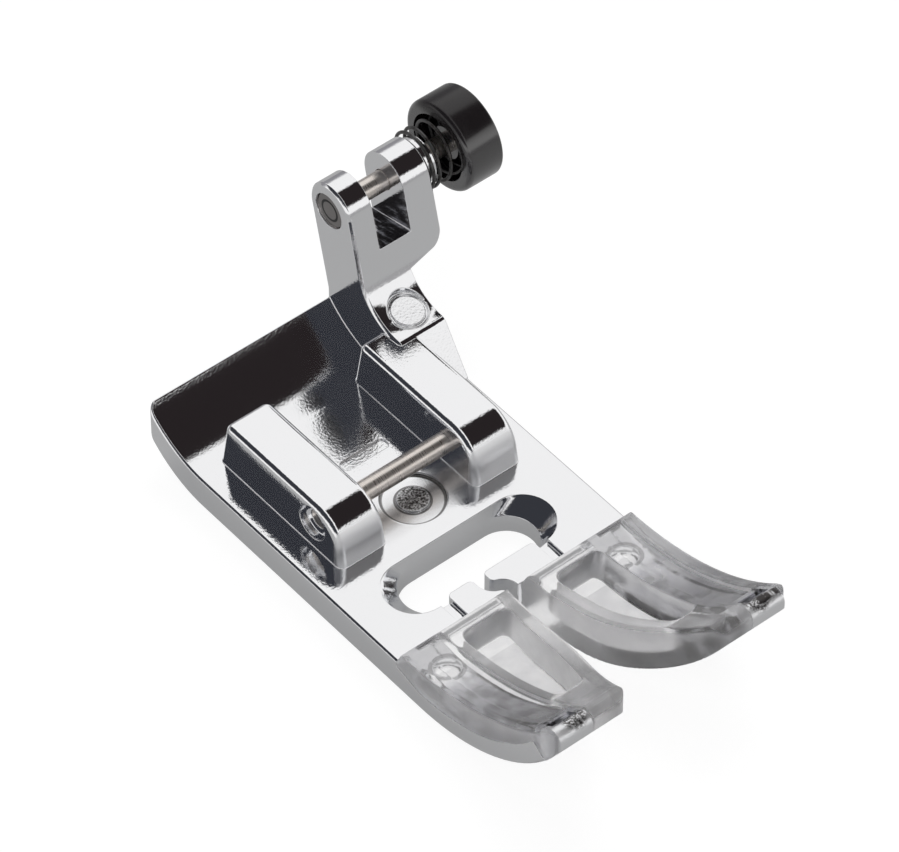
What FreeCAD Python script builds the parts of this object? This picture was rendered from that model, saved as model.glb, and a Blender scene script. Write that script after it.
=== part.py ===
import FreeCAD, Part
import math
import os

# Presser foot for a sewing machine, in millimetres. +Z is up, the toes point to -Y and the
# button stands on the +X side. The origin lies on the flat underside of the sole, straight
# below the middle of the cross pin.

# Sole plate
sole_width = 26.1
sole_thickness = 3.5
sole_under_bevel = 0.25
sole_lip_bevel = 0.2

# Heel, which sweeps up behind the flat of the sole
heel_start = 12.0
heel_run = 7.85
heel_radius = 10.5
heel_corner_radius = 1.0

# Toes, which curl up in front of the flat of the sole
toe_start = -18.2
toe_reach = 18.05
toe_under_radius = 20.8

# Metal fingers of the sole, which carry the clear toes
finger_inner_x = 8.5
finger_thickness = 2.0
finger_root_thickness = 2.8
finger_outer_stop = 2.6
lock_hole_x = 10.05
lock_hole_y = -18.6
lock_hole_radius = 1.2
tab_inner_x = 8.9
tab_outer_x = 12.5
tab_length = 2.4
tab_drop = 0.15
tab_dimple_margin = 0.55
tab_dimple_depth = 0.35

# Clear toe inserts, moulded onto the fingers
insert_seat_y = -15.1
insert_step = 1.6
insert_rear_slope = 0.8
insert_tip_thickness = 2.45
insert_edge_bevel = 0.35
insert_tip_round = 1.4
toe_nose_radius = 1.0
slit_half_gap = 1.05
slit_angle = 4.0
flare_start = -22.2
flare_radius = 26.0
flare_angle = 18.0
pocket_rim = 1.55
pocket_outer_x = 7.85
pocket_rear_margin = 2.3
pocket_length = 13.2
pocket_floor = 1.5
pocket_corner_radius = 0.9
channel_inner_x = 8.8
channel_outer_x = 11.6
channel_depth = 0.45

# Needle slot, with scooped ends, and the crooked thread slit that joins it to the toes
slot_centre_x = -0.3
slot_centre_y = -9.6
slot_half_length = 9.15
slot_half_width = 3.1
slot_scoop_run = 1.9
slot_scoop_depth = 1.5
slot_scoop_taper = 0.12
left_tongue_inner_x = -2.1
right_tongue_inner_x = -0.9
tongue_rear_y = -12.05
tongue_corner_radius = 0.55
crook_half_width = 0.62
crook_turn = 70.0
crook_start_y = -12.9
gauge_inner_x = 4.9
gauge_outer_x = 6.03
gauge_depth = 0.5

# Walls that stand on the sole and hold the cross pin
wall_inner_x = 4.9
wall_outer_x = 10.3
wall_draft = 2.0
wall_front_y = -4.15
wall_front_lean = 8.0
wall_rear_y = 13.05
wall_rear_slope = 0.7
wall_height = 4.95
wall_nose_radius = 3.6
wall_edge_round = 0.7
wall_rear_round = 0.8

# Cross pin, pressed into the walls
pin_height = 6.23
pin_radius = 1.0
pin_end_bevel = 0.15
pin_pocket_radius = 1.75
pin_pocket_depth = 0.9

# Marks sunk into the metal
dish_y = -1.5
dish_radius = 3.0
dish_boss_radius = 1.5
dish_depth = 0.25
bar_mark_length = 5.0
bar_mark_width = 1.2
bar_mark_corner_radius = 0.4
bar_mark_y = 5.3
bar_mark_depth = 0.2
ring_mark_x = 10.78
ring_mark_angle = 24.0
ring_mark_tilt = 12.0
ring_mark_radius = 1.8
ring_mark_width = 0.22
ring_mark_depth = 0.15
ring_seat_margin = 0.15
ring_seat_thickness = 0.5

# Arm at the right rear corner, ending in a fork with two ears
arm_inner_x = 7.75
arm_front_y = 6.6
arm_front_slope = 3.3
arm_knee_rise = 0.2
arm_knee_radius = 0.6
arm_lean = 13.2
arm_sink = 1.5
arm_edge_bevel = 0.25
ear_radius = 2.85
ear_forward = 0.25
ear_lift = 0.15
plunger_y = 19.65
plunger_z = 17.9
left_ear_width = 2.6
fork_gap = 3.6
right_ear_width = 3.2
fork_depth = 4.2
overhang_height = 10.95
overhang_rise = 0.8
overhang_corner_radius = 1.6

# Plunger pin, which slides through the ears
plunger_radius = 1.0
plunger_clearance = 0.05
plunger_head_radius = 1.75
plunger_head_length = 1.3
plunger_head_chamfer = 0.2
head_bore_depth = 1.5
head_rest_gap = 0.05
spigot_radius = 2.3
spigot_length = 1.2

# Black button cap on the plunger pin
cap_radius = 4.6
cap_length = 3.9
cap_gap = 3.15
cap_face = 0.8
cap_face_bevel = 0.2
cap_rim_bevel = 0.6
cavity_radius = 3.4
hub_radius = 1.65
hub_recess = 1.0

# Return spring between the fork and the button cap
spring_wire_radius = 0.2
spring_wire_sides = 3
spring_outer_radius = 3.05
spring_turns = 5.0
spring_end_gap = 0.02


def side_point(point):
    """Point of a side view, as (y, z)."""
    return FreeCAD.Vector(0.0, point[0], point[1])


def plan_point(point):
    """Point of a plan view, as (x, y)."""
    return FreeCAD.Vector(point[0], point[1], 0.0)


def front_point(point):
    """Point of a front view, as (x, z)."""
    return FreeCAD.Vector(point[0], 0.0, point[1])


def outline_face(place, start, *steps):
    """Face inside an outline: a step is an end point, or a middle and an end point of an arc."""
    edges = []
    here = start
    for step in steps:
        if isinstance(step[0], tuple):
            middle, end = step
            edges.append(Part.Arc(place(here), place(middle), place(end)).toShape())
        else:
            end = step
            edges.append(Part.LineSegment(place(here), place(end)).toShape())
        here = end
    if (place(here) - place(start)).Length > TOUCH:
        edges.append(Part.LineSegment(place(here), place(start)).toShape())
    return Part.Face(Part.Wire(edges))


def on_circle(centre, radius, angle):
    """Point of a circle, at an angle in degrees from its first axis."""
    turn = math.radians(angle)
    return (centre[0] + radius * math.cos(turn), centre[1] + radius * math.sin(turn))


def arc_step(centre, radius, start_angle, end_angle):
    """Middle and end point of an arc of a circle."""
    middle_angle = (start_angle + end_angle) / 2
    return (on_circle(centre, radius, middle_angle), on_circle(centre, radius, end_angle))


def across(face, from_x, to_x):
    """Solid of a side view's face between two widths."""
    moved = face.copy()
    moved.translate(FreeCAD.Vector(from_x, 0, 0))
    return moved.extrude(FreeCAD.Vector(to_x - from_x, 0, 0))


def upward(face, from_z, to_z):
    """Solid of a plan view's face between two heights."""
    moved = face.copy()
    moved.translate(FreeCAD.Vector(0, 0, from_z))
    return moved.extrude(FreeCAD.Vector(0, 0, to_z - from_z))


def lengthwise(face):
    """Solid of a front view's face along the whole foot."""
    moved = face.copy()
    moved.translate(FreeCAD.Vector(0, -tool_reach, 0))
    return moved.extrude(FreeCAD.Vector(0, tool_reach + tool_reach, 0))


def block(from_x, to_x, from_y, to_y, from_z, to_z):
    """Plain block between two corners."""
    corner = FreeCAD.Vector(from_x, from_y, from_z)
    return Part.makeBox(to_x - from_x, to_y - from_y, to_z - from_z, corner)


def rod(from_x, to_x, radius, y, z):
    """Round bar along X."""
    base = FreeCAD.Vector(from_x, y, z)
    return Part.makeCylinder(radius, to_x - from_x, base, FreeCAD.Vector(1, 0, 0))


def post(x, y, radius, from_z, to_z):
    """Round bar along Z."""
    return Part.makeCylinder(radius, to_z - from_z, FreeCAD.Vector(x, y, from_z))


def mirrored(shape):
    """The same piece on the other side of the middle of the foot."""
    return shape.mirror(FreeCAD.Vector(0, 0, 0), FreeCAD.Vector(1, 0, 0))


def rounded(shape, radius, chosen):
    """Shape with its chosen edges rounded."""
    edges = [edge for edge in shape.Edges if chosen(edge.BoundBox)]
    return shape.makeFillet(radius, edges)


def bevelled(shape, size, chosen):
    """Shape with its chosen edges cut off at a slant."""
    edges = [edge for edge in shape.Edges if chosen(edge.BoundBox)]
    return shape.makeChamfer(size, edges)


def at(value, other):
    """Whether two sizes are the same."""
    return abs(value - other) < TOUCH


def in_plane_x(box, x):
    """Whether an edge lies in a plane square to X."""
    return at(box.XMin, x) and at(box.XMax, x)


TOUCH = 0.001
DOWN = -90.0
HALF_TURN = 180.0
FULL_TURN = 360.0
half_width = sole_width / 2
wall_top = sole_thickness + wall_height
insert_top = sole_thickness + insert_step

# Toe curl: angles are measured about the centre of the underside's arc
toe_centre = (toe_start, toe_under_radius)
toe_tip_angle = DOWN - math.degrees(math.asin(toe_reach / toe_under_radius))
toe_front_y = toe_start - toe_reach
finger_top_radius = toe_under_radius - finger_thickness
insert_tip_radius = toe_under_radius - insert_tip_thickness
outer_stop_angle = toe_tip_angle + math.degrees(finger_outer_stop / toe_under_radius)
tab_rear_angle = toe_tip_angle + math.degrees(tab_length / toe_under_radius)
tab_rear_y = on_circle(toe_centre, insert_tip_radius, tab_rear_angle)[0]

# Heel sweep
heel_end = heel_start + heel_run
heel_under_centre = (heel_start, heel_radius)
heel_top_centre = (heel_start, sole_thickness + heel_radius)
heel_angle = DOWN + math.degrees(math.asin(heel_run / heel_radius))

# Cutting tools reach past both ends of the part
tool_reach = heel_end - toe_front_y + sole_width

# Fork
ear_centre = (plunger_y - ear_forward, plunger_z + ear_lift)
left_ear_end = arm_inner_x + left_ear_width
right_ear_start = left_ear_end + fork_gap
right_ear_end = right_ear_start + right_ear_width
spigot_end = right_ear_end + spigot_length
head_shoulder = arm_inner_x + head_bore_depth - head_rest_gap

# Foot of the arm: a slope and a knee, then a sweep up into the leaning front
lean = math.radians(arm_lean)
knee_z = wall_top + arm_knee_rise
knee_turn = math.atan((knee_z - sole_thickness) / arm_front_slope)
knee_y = arm_front_y + arm_front_slope + arm_knee_radius * math.tan(knee_turn / 2)
knee_centre = (knee_y, knee_z - arm_knee_radius)
knee_start = math.degrees(knee_turn) - DOWN
front_foot = ear_centre[0] - ear_radius / math.cos(lean)
front_at_knee = front_foot - (ear_centre[1] - knee_z) * math.tan(lean)
sweep_radius = (front_at_knee - knee_y) / math.tan((math.pi / 2 - lean) / 2)
sweep_centre = (knee_y, knee_z + sweep_radius)
ring_seat = on_circle(sweep_centre, sweep_radius, DOWN + ring_mark_angle)

# Button cap
cap_start = right_ear_end + cap_gap
cap_end = cap_start + cap_length
cavity_floor = cap_end - cap_face
hub_start = cap_start + hub_recess


def toe_band(top_radius, rear_top, end_angle):
    """Side view from the insert's seat along the toe curl, up to a radius and an angle."""
    return outline_face(
        side_point,
        (insert_seat_y, 0.0),
        (toe_start, 0.0),
        arc_step(toe_centre, toe_under_radius, DOWN, end_angle),
        on_circle(toe_centre, top_radius, end_angle),
        arc_step(toe_centre, top_radius, end_angle, DOWN),
        (insert_seat_y, rear_top),
    )


def toe_sector(inner_radius, outer_radius, from_angle, to_angle):
    """Side view of a strip of the toe curl between two radii and two angles."""
    return outline_face(
        side_point,
        on_circle(toe_centre, outer_radius, from_angle),
        arc_step(toe_centre, outer_radius, from_angle, to_angle),
        on_circle(toe_centre, inner_radius, to_angle),
        arc_step(toe_centre, inner_radius, to_angle, from_angle),
    )


def finger_tab():
    """Raised end of the right finger, which fills the window in the tip of its toe."""
    front_top = toe_top_point(toe_front_y, tab_drop)
    middle_top = toe_top_point((toe_front_y + tab_rear_y) / 2, tab_drop)
    rear_top = toe_top_point(tab_rear_y, tab_drop)
    tab = across(
        outline_face(
            side_point,
            on_circle(toe_centre, toe_under_radius, tab_rear_angle),
            on_circle(toe_centre, toe_under_radius, toe_tip_angle),
            front_top,
            (middle_top, rear_top),
        ),
        tab_inner_x,
        tab_outer_x,
    )
    nose_z = front_top[1]
    return rounded(
        tab, toe_nose_radius, lambda box: at(box.ZMin, nose_z) and at(box.ZMax, nose_z)
    )


def finger_core():
    """The right finger with sharp edges, which the clear toe is moulded round."""
    root = finger_root_thickness
    finger = across(
        toe_band(finger_top_radius, root, outer_stop_angle), finger_inner_x, half_width
    )
    tip = across(toe_band(finger_top_radius, root, toe_tip_angle), tab_inner_x, tab_outer_x)
    lock_hole = post(lock_hole_x, lock_hole_y, lock_hole_radius, -tool_reach, tool_reach)
    return finger.fuse([tip, finger_tab()]).removeSplitter().cut(lock_hole)


def sole_blank():
    """The plate with its heel and toes as one sweep, edges rounded, before anything is cut."""
    blank = across(
        outline_face(
            side_point,
            on_circle(heel_under_centre, heel_radius, heel_angle),
            arc_step(heel_under_centre, heel_radius, heel_angle, DOWN),
            (toe_start, 0.0),
            arc_step(toe_centre, toe_under_radius, DOWN, toe_tip_angle),
            on_circle(toe_centre, finger_top_radius, toe_tip_angle),
            arc_step(toe_centre, finger_top_radius, toe_tip_angle, DOWN),
            (insert_seat_y, finger_root_thickness),
            (insert_seat_y, sole_thickness),
            (heel_start, sole_thickness),
            arc_step(heel_top_centre, heel_radius, DOWN, heel_angle),
        ),
        -half_width,
        half_width,
    )
    blank = rounded(
        blank,
        heel_corner_radius,
        lambda box: box.YMin > heel_end - TOUCH and box.XLength < TOUCH,
    )

    def under_edge(box):
        on_side = in_plane_x(box, half_width) or in_plane_x(box, -half_width)
        flat = at(box.ZMax, 0.0)
        on_heel = at(box.YMin, heel_start) and at(box.ZMin, 0.0)
        on_toe = at(box.YMax, toe_start) and at(box.ZMin, 0.0)
        return on_side and (flat or on_heel or on_toe)

    def lip_edge(box):
        on_rear = box.YMin > insert_seat_y - TOUCH and box.ZMin > sole_thickness - TOUCH
        return on_rear and box.YLength > TOUCH

    blank = bevelled(blank, sole_under_bevel, under_edge)
    return bevelled(
        blank, sole_lip_bevel, lambda box: lip_edge(box) and box.XLength < sole_thickness
    )


def slot_outline(half_length, half_width, z):
    """Wire of a slot with round ends, at a height."""
    left = (slot_centre_x - half_length + half_width, slot_centre_y)
    right = (slot_centre_x + half_length - half_width, slot_centre_y)
    face = outline_face(
        plan_point,
        on_circle(left, half_width, -DOWN),
        on_circle(right, half_width, -DOWN),
        arc_step(right, half_width, -DOWN, DOWN),
        on_circle(left, half_width, DOWN),
        arc_step(left, half_width, DOWN, DOWN - HALF_TURN),
    )
    wire = face.OuterWire
    wire.translate(FreeCAD.Vector(0, 0, z))
    return wire


def needle_slot():
    """Cutter for the needle slot: straight through, with both ends scooped at the top."""
    inner_length = slot_half_length - slot_scoop_run
    inner_width = slot_half_width - slot_scoop_taper
    wide = slot_outline(slot_half_length, slot_half_width, sole_thickness)
    low = slot_outline(inner_length, inner_width, -sole_thickness)
    through = Part.Face(low).extrude(FreeCAD.Vector(0, 0, tool_reach))
    scoop_floor = slot_outline(inner_length, inner_width, sole_thickness - slot_scoop_depth)
    scoop = Part.makeLoft([scoop_floor, wide], True, True)
    above = Part.Face(wide).extrude(FreeCAD.Vector(0, 0, tool_reach))
    cutter = through.fuse([scoop, above])
    tongues = (
        (-gauge_inner_x, left_tongue_inner_x),
        (right_tongue_inner_x, gauge_inner_x),
    )
    for from_x, to_x in tongues:
        tongue = block(from_x, to_x, insert_seat_y, tongue_rear_y, -tool_reach, tool_reach)
        tongue = rounded(
            tongue,
            tongue_corner_radius,
            lambda box: box.ZLength > tool_reach and box.YMax > tongue_rear_y - TOUCH,
        )
        cutter = cutter.cut(tongue)
    return cutter


def crooked_slit():
    """Cutter for the thread slit: two arcs in an S from the needle slot to the toe gap."""
    start_x = (left_tongue_inner_x + right_tongue_inner_x) / 2
    bend_drop = (crook_start_y - insert_seat_y) / 2
    bend = bend_drop / math.sin(math.radians(crook_turn))
    first = (start_x + bend, crook_start_y)
    joint = on_circle(first, bend, HALF_TURN + crook_turn)
    second = (2 * joint[0] - first[0], 2 * joint[1] - first[1])
    wide = bend + crook_half_width
    narrow = bend - crook_half_width
    rear = tongue_rear_y + crook_half_width
    front = insert_seat_y - crook_half_width
    return upward(
        outline_face(
            plan_point,
            (start_x - crook_half_width, rear),
            (start_x - crook_half_width, crook_start_y),
            arc_step(first, wide, HALF_TURN, HALF_TURN + crook_turn),
            arc_step(second, narrow, crook_turn, 0.0),
            (second[0] + narrow, front),
            (second[0] + wide, front),
            (second[0] + wide, insert_seat_y),
            arc_step(second, wide, 0.0, crook_turn),
            arc_step(first, narrow, HALF_TURN + crook_turn, HALF_TURN),
            (start_x + crook_half_width, rear),
        ),
        -tool_reach,
        tool_reach,
    )


def wall():
    """The right wall, with drafted sides, leaning front, round nose and rounded rear corners."""
    lean = math.radians(wall_front_lean)
    foot_z = sole_thickness - arm_sink
    tangent = wall_nose_radius * math.tan((math.pi / 2 - lean) / 2)
    shoulder_y = wall_front_y + wall_height * math.tan(lean)
    nose = (shoulder_y + tangent, wall_top - wall_nose_radius)
    front_angle = HALF_TURN - wall_front_lean
    profile = outline_face(
        side_point,
        (wall_front_y, foot_z),
        (wall_front_y, sole_thickness),
        on_circle(nose, wall_nose_radius, front_angle),
        arc_step(nose, wall_nose_radius, front_angle, -DOWN),
        (wall_rear_y - wall_rear_slope, wall_top),
        (wall_rear_y, sole_thickness),
        (wall_rear_y, foot_z),
    )
    draft = (wall_top - foot_z) * math.tan(math.radians(wall_draft))
    section = outline_face(
        front_point,
        (wall_inner_x, foot_z),
        (wall_outer_x, foot_z),
        (wall_outer_x - draft, wall_top),
        (wall_inner_x + draft, wall_top),
    )
    solid = across(profile, wall_inner_x, wall_outer_x).common(lengthwise(section))
    solid = rounded(
        solid,
        wall_rear_round,
        lambda box: box.YMax - box.YMin > TOUCH
        and box.YMin > wall_rear_y - wall_rear_slope - TOUCH
        and box.ZLength > wall_height / 2,
    )
    nose_low = wall_top - wall_nose_radius - TOUCH
    return rounded(
        solid,
        wall_edge_round,
        lambda box: box.ZMin > nose_low and box.YLength > TOUCH,
    )


def arm_side():
    """Side view of the arm: sloped foot, knee, concave sweep, leaning fork, round ears."""
    foot_z = sole_thickness - arm_sink
    heel_rear = on_circle(heel_top_centre, heel_radius, heel_angle)
    across_gap = math.atan2(ear_centre[1] - heel_rear[1], ear_centre[0] - heel_rear[0])
    span = math.hypot(ear_centre[1] - heel_rear[1], ear_centre[0] - heel_rear[0])
    rear_angle = math.degrees(across_gap - math.asin(ear_radius / span)) + DOWN
    return outline_face(
        side_point,
        (arm_front_y, foot_z),
        (arm_front_y, sole_thickness),
        on_circle(knee_centre, arm_knee_radius, knee_start),
        arc_step(knee_centre, arm_knee_radius, knee_start, -DOWN),
        arc_step(sweep_centre, sweep_radius, DOWN, -arm_lean),
        on_circle(ear_centre, ear_radius, HALF_TURN - arm_lean),
        arc_step(ear_centre, ear_radius, HALF_TURN - arm_lean, rear_angle),
        heel_rear,
        (heel_rear[0], heel_rear[1] - arm_sink),
        (heel_start, foot_z),
    )


def arm_front():
    """Front view of the arm: straight inner side, and an overhang under the outer ear."""
    radius = overhang_corner_radius
    slope = math.degrees(math.atan(overhang_rise / (right_ear_end - half_width)))
    corner_z = overhang_height + overhang_rise
    setback = radius * math.tan(math.radians((-DOWN - slope) / 2))
    centre = (right_ear_end - radius, corner_z + setback)
    return outline_face(
        front_point,
        (arm_inner_x, -tool_reach),
        (half_width, -tool_reach),
        (half_width, overhang_height),
        on_circle(centre, radius, slope + DOWN),
        arc_step(centre, radius, slope + DOWN, 0.0),
        (right_ear_end, tool_reach),
        (arm_inner_x, tool_reach),
    )


def arm():
    """The arm with its fork, both sides rounded, and the spigot that centres the spring."""
    solid = across(arm_side(), arm_inner_x, right_ear_end).common(lengthwise(arm_front()))
    outer_low = overhang_height + TOUCH
    solid = bevelled(
        solid,
        arm_edge_bevel,
        lambda box: box.ZMax > wall_top + TOUCH
        and (
            in_plane_x(box, arm_inner_x)
            or (in_plane_x(box, right_ear_end) and box.ZMax > outer_low)
        ),
    )
    fork = block(left_ear_end, right_ear_start, -tool_reach, tool_reach, -fork_depth, tool_reach)
    fork.rotate(FreeCAD.Vector(0, 0, 0), FreeCAD.Vector(1, 0, 0), -arm_lean)
    fork.translate(FreeCAD.Vector(0, plunger_y, plunger_z))
    spigot = rod(right_ear_end - arm_edge_bevel, spigot_end, spigot_radius, plunger_y, plunger_z)
    return solid.cut(fork).fuse(spigot)


def ring_post(radius, low, high):
    """Round bar square to the ring mark's seat, from one height to another above the seat."""
    tilt = math.radians(ring_mark_tilt)
    out = FreeCAD.Vector(0, -math.sin(tilt), math.cos(tilt))
    middle = FreeCAD.Vector(ring_mark_x, ring_seat[0], ring_seat[1])
    return Part.makeCylinder(radius, high - low, middle + out * low, out)


def foot_casting():
    """The metal foot: plate, fingers, walls and arm in one casting, with every cut and bore."""
    beyond_tip = toe_tip_angle + DOWN / 2
    end_strips = [
        across(toe_sector(TOUCH, tool_reach, outer_stop_angle, beyond_tip), tab_outer_x, tool_reach),
        across(
            toe_sector(TOUCH, tool_reach, outer_stop_angle, beyond_tip), 0.0, tab_inner_x
        ),
    ]
    lock_hole = post(lock_hole_x, lock_hole_y, lock_hole_radius, -tool_reach, tool_reach)
    between = block(
        -finger_inner_x, finger_inner_x, -tool_reach, insert_seat_y, -tool_reach, tool_reach
    )
    gauge = block(
        gauge_inner_x,
        gauge_outer_x,
        insert_seat_y,
        slot_centre_y,
        sole_thickness - gauge_depth,
        tool_reach,
    )
    paired = end_strips + [lock_hole, gauge]
    foot = sole_blank().cut([between] + paired + [mirrored(cutter) for cutter in paired])
    foot = foot.cut([needle_slot(), crooked_slit()])

    dish = post(0, dish_y, dish_radius, sole_thickness - dish_depth, tool_reach)
    dish = dish.cut(post(0, dish_y, dish_boss_radius, 0, tool_reach))
    bar_mark = block(
        -bar_mark_length / 2,
        bar_mark_length / 2,
        bar_mark_y - bar_mark_width / 2,
        bar_mark_y + bar_mark_width / 2,
        sole_thickness - bar_mark_depth,
        tool_reach,
    )
    bar_mark = rounded(bar_mark, bar_mark_corner_radius, lambda box: box.ZLength > TOUCH)
    seat_radius = ring_mark_radius + ring_seat_margin
    seat_recess = ring_post(seat_radius, 0.0, sweep_radius)
    ring_mark = ring_post(ring_mark_radius, -ring_mark_depth, TOUCH)
    ring_mark = ring_mark.cut(
        ring_post(ring_mark_radius - ring_mark_width, -sweep_radius, sweep_radius)
    )
    foot = foot.cut([dish, bar_mark])
    foot = foot.fuse([finger_tab_in_casting(), mirrored(finger_tab_in_casting())])
    foot = foot.fuse([wall(), mirrored(wall()), arm().cut(seat_recess)])
    foot = foot.fuse(ring_post(seat_radius, -ring_seat_thickness, 0.0))

    pin_bore = rod(-wall_outer_x, wall_outer_x, pin_radius, 0, pin_height)
    pocket = rod(wall_outer_x - pin_pocket_depth, half_width, pin_pocket_radius, 0, pin_height)
    bore_radius = plunger_radius + plunger_clearance
    plunger_bore = rod(0, tool_reach, bore_radius, plunger_y, plunger_z)
    head_bore = rod(
        0,
        arm_inner_x + head_bore_depth,
        plunger_head_radius + plunger_clearance,
        plunger_y,
        plunger_z,
    )
    bores = [pin_bore, pocket, mirrored(pocket), plunger_bore, head_bore, ring_mark]
    return foot.cut(bores).removeSplitter()


def finger_tab_in_casting():
    """Raised finger end with the shallow dimple in its top."""
    rear_y = tab_rear_y - tab_dimple_margin
    front_y = toe_front_y + toe_nose_radius + tab_dimple_margin
    deep = tab_drop + tab_dimple_depth
    dimple = across(
        outline_face(
            side_point,
            toe_top_point(rear_y, deep),
            toe_top_point(front_y, deep),
            toe_top_point(front_y, -tab_dimple_margin),
            toe_top_point(rear_y, -tab_dimple_margin),
        ),
        tab_inner_x + tab_dimple_margin,
        tab_outer_x - tab_dimple_margin,
    )
    return finger_tab().cut(dimple)


def toe_edge(offset):
    """Inner edge of the right toe in plan, moved outwards: start, arc centre, arc radius."""
    lead = math.radians(slit_angle)
    straight = insert_seat_y - flare_start
    start = (
        slit_half_gap + straight * math.tan(lead) + offset * math.cos(lead),
        flare_start + offset * math.sin(lead),
    )
    radius = flare_radius - offset
    centre = (start[0] + radius * math.cos(lead), start[1] + radius * math.sin(lead))
    return start, centre, radius


def toe_plan():
    """Plan view of the right toe, whose inner edge flares away from its neighbour."""
    start, centre, radius = toe_edge(0.0)
    flare_end = on_circle(centre, radius, HALF_TURN + flare_angle)
    run = flare_end[1] - toe_front_y
    return outline_face(
        plan_point,
        (slit_half_gap, insert_seat_y),
        start,
        arc_step(centre, radius, HALF_TURN + slit_angle, HALF_TURN + flare_angle),
        (flare_end[0] + run * math.tan(math.radians(flare_angle)), toe_front_y),
        (half_width, toe_front_y),
        (half_width, insert_seat_y),
    )


def toe_top():
    """Centre and radius of the arc of the toe's top, and its angle at the front of the toe."""
    tip = on_circle(toe_centre, insert_tip_radius, toe_tip_angle)
    start_y = insert_seat_y - insert_rear_slope
    run = start_y - tip[0]
    rise = tip[1] - insert_top
    radius = (run * run + rise * rise) / (2 * rise)
    front_angle = DOWN - math.degrees(math.asin((start_y - toe_front_y) / radius))
    return (start_y, insert_top + radius), radius, front_angle


def toe_top_point(y, drop):
    """Point of a side view under the arc of the toe's top."""
    centre, radius, front_angle = toe_top()
    turn = math.degrees(math.asin((centre[0] - y) / (radius + drop)))
    return on_circle(centre, radius + drop, DOWN - turn)


def insert_blank():
    """The right toe as a full block of clear plastic with rounded edges."""
    top_centre, top_radius, front_angle = toe_top()
    side = outline_face(
        side_point,
        (insert_seat_y, 0.0),
        (toe_start, 0.0),
        arc_step(toe_centre, toe_under_radius, DOWN, toe_tip_angle),
        on_circle(top_centre, top_radius, front_angle),
        arc_step(top_centre, top_radius, front_angle, DOWN),
        (insert_seat_y, sole_thickness),
    )
    nose_z = toe_top_point(toe_front_y, 0.0)[1]
    nosed = rounded(
        across(side, 0.0, half_width),
        toe_nose_radius,
        lambda box: at(box.ZMin, nose_z) and at(box.ZMax, nose_z),
    )
    cornered = rounded(
        upward(toe_plan(), -tool_reach, tool_reach),
        insert_tip_round,
        lambda box: box.ZLength > tool_reach and box.YMax < toe_front_y + TOUCH,
    )
    sharp = across(side, 0.0, half_width).common(upward(toe_plan(), -tool_reach, tool_reach))
    edges = []
    for face in sharp.Faces:
        if isinstance(face.Surface, Part.Cylinder) and at(face.Surface.Radius, top_radius):
            edges += [edge for edge in face.Edges if edge.BoundBox.YMax > toe_front_y + TOUCH]
    return sharp.makeChamfer(insert_edge_bevel, edges).common(nosed).common(cornered)


def pocket_cutter():
    """Cutter for the pocket that leaves a rim along the inner edge and a thin floor."""
    start, centre, radius = toe_edge(pocket_rim)
    rear_y = insert_seat_y - pocket_rear_margin
    front_y = rear_y - pocket_length
    rim_x = slit_half_gap + pocket_rim
    end_angle = math.degrees(math.asin((centre[1] - front_y) / radius))
    plan = outline_face(
        plan_point,
        (rim_x, rear_y),
        start,
        arc_step(centre, radius, HALF_TURN + slit_angle, HALF_TURN + end_angle),
        (pocket_outer_x, front_y),
        (pocket_outer_x, rear_y),
    )
    plan = rounded(
        upward(plan, -tool_reach, tool_reach),
        pocket_corner_radius,
        lambda box: box.ZLength > tool_reach and not at(box.YMax, start[1]),
    )
    floor_radius = toe_under_radius - pocket_floor
    above_floor = outline_face(
        side_point,
        (insert_seat_y, pocket_floor),
        (toe_start, pocket_floor),
        arc_step(toe_centre, floor_radius, DOWN, toe_tip_angle),
        toe_centre,
        (insert_seat_y, toe_centre[1]),
    )
    return plan.common(across(above_floor, 0.0, half_width))


def channel_cutter():
    """Cutter for the shallow channel that runs over the finger up to its tab."""
    centre, radius, tip_angle = toe_top()
    channel = outline_face(
        side_point,
        on_circle(centre, radius + channel_depth, DOWN),
        arc_step(centre, radius + channel_depth, DOWN, tip_angle),
        on_circle(centre, radius / 2, tip_angle),
        on_circle(centre, radius / 2, DOWN),
    )
    return across(channel, channel_inner_x, channel_outer_x)


def toe_insert():
    """The right clear toe, moulded round its finger, with its pocket and its channel."""
    window = block(tab_inner_x, tab_outer_x, -tool_reach, tab_rear_y, 0.0, tool_reach)
    return insert_blank().cut([finger_core(), pocket_cutter(), channel_cutter(), window])


def cross_pin():
    """Steel pin between the walls, both ends bevelled."""
    half = wall_outer_x - pin_pocket_depth
    pin = rod(-half, half, pin_radius, 0, pin_height)
    return bevelled(pin, pin_end_bevel, lambda box: box.XLength < TOUCH)


def plunger_pin():
    """Headed pin that slides in both ears and carries the button cap."""
    head_start = head_shoulder - plunger_head_length
    head = rod(head_start, head_shoulder, plunger_head_radius, plunger_y, plunger_z)
    head = head.makeChamfer(
        plunger_head_chamfer, [edge for edge in head.Edges if edge.BoundBox.XMax < head_shoulder]
    )
    shaft = rod(head_shoulder, cavity_floor, plunger_radius, plunger_y, plunger_z)
    return head.fuse(shaft).removeSplitter()


def button_cap():
    """Black cap with an open cavity for the spring and a hub pressed onto the plunger pin."""
    shell = rod(cap_start, cap_end, cap_radius, plunger_y, plunger_z)
    shell = bevelled(shell, cap_face_bevel, lambda box: in_plane_x(box, cap_end))
    shell = bevelled(shell, cap_rim_bevel, lambda box: in_plane_x(box, cap_start))
    cavity = rod(cap_start, cavity_floor, cavity_radius, plunger_y, plunger_z)
    hub = rod(hub_start, cavity_floor, hub_radius, plunger_y, plunger_z)
    bore = rod(cap_start, cavity_floor, plunger_radius, plunger_y, plunger_z)
    return shell.cut(cavity.cut(hub)).cut(bore)


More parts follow.
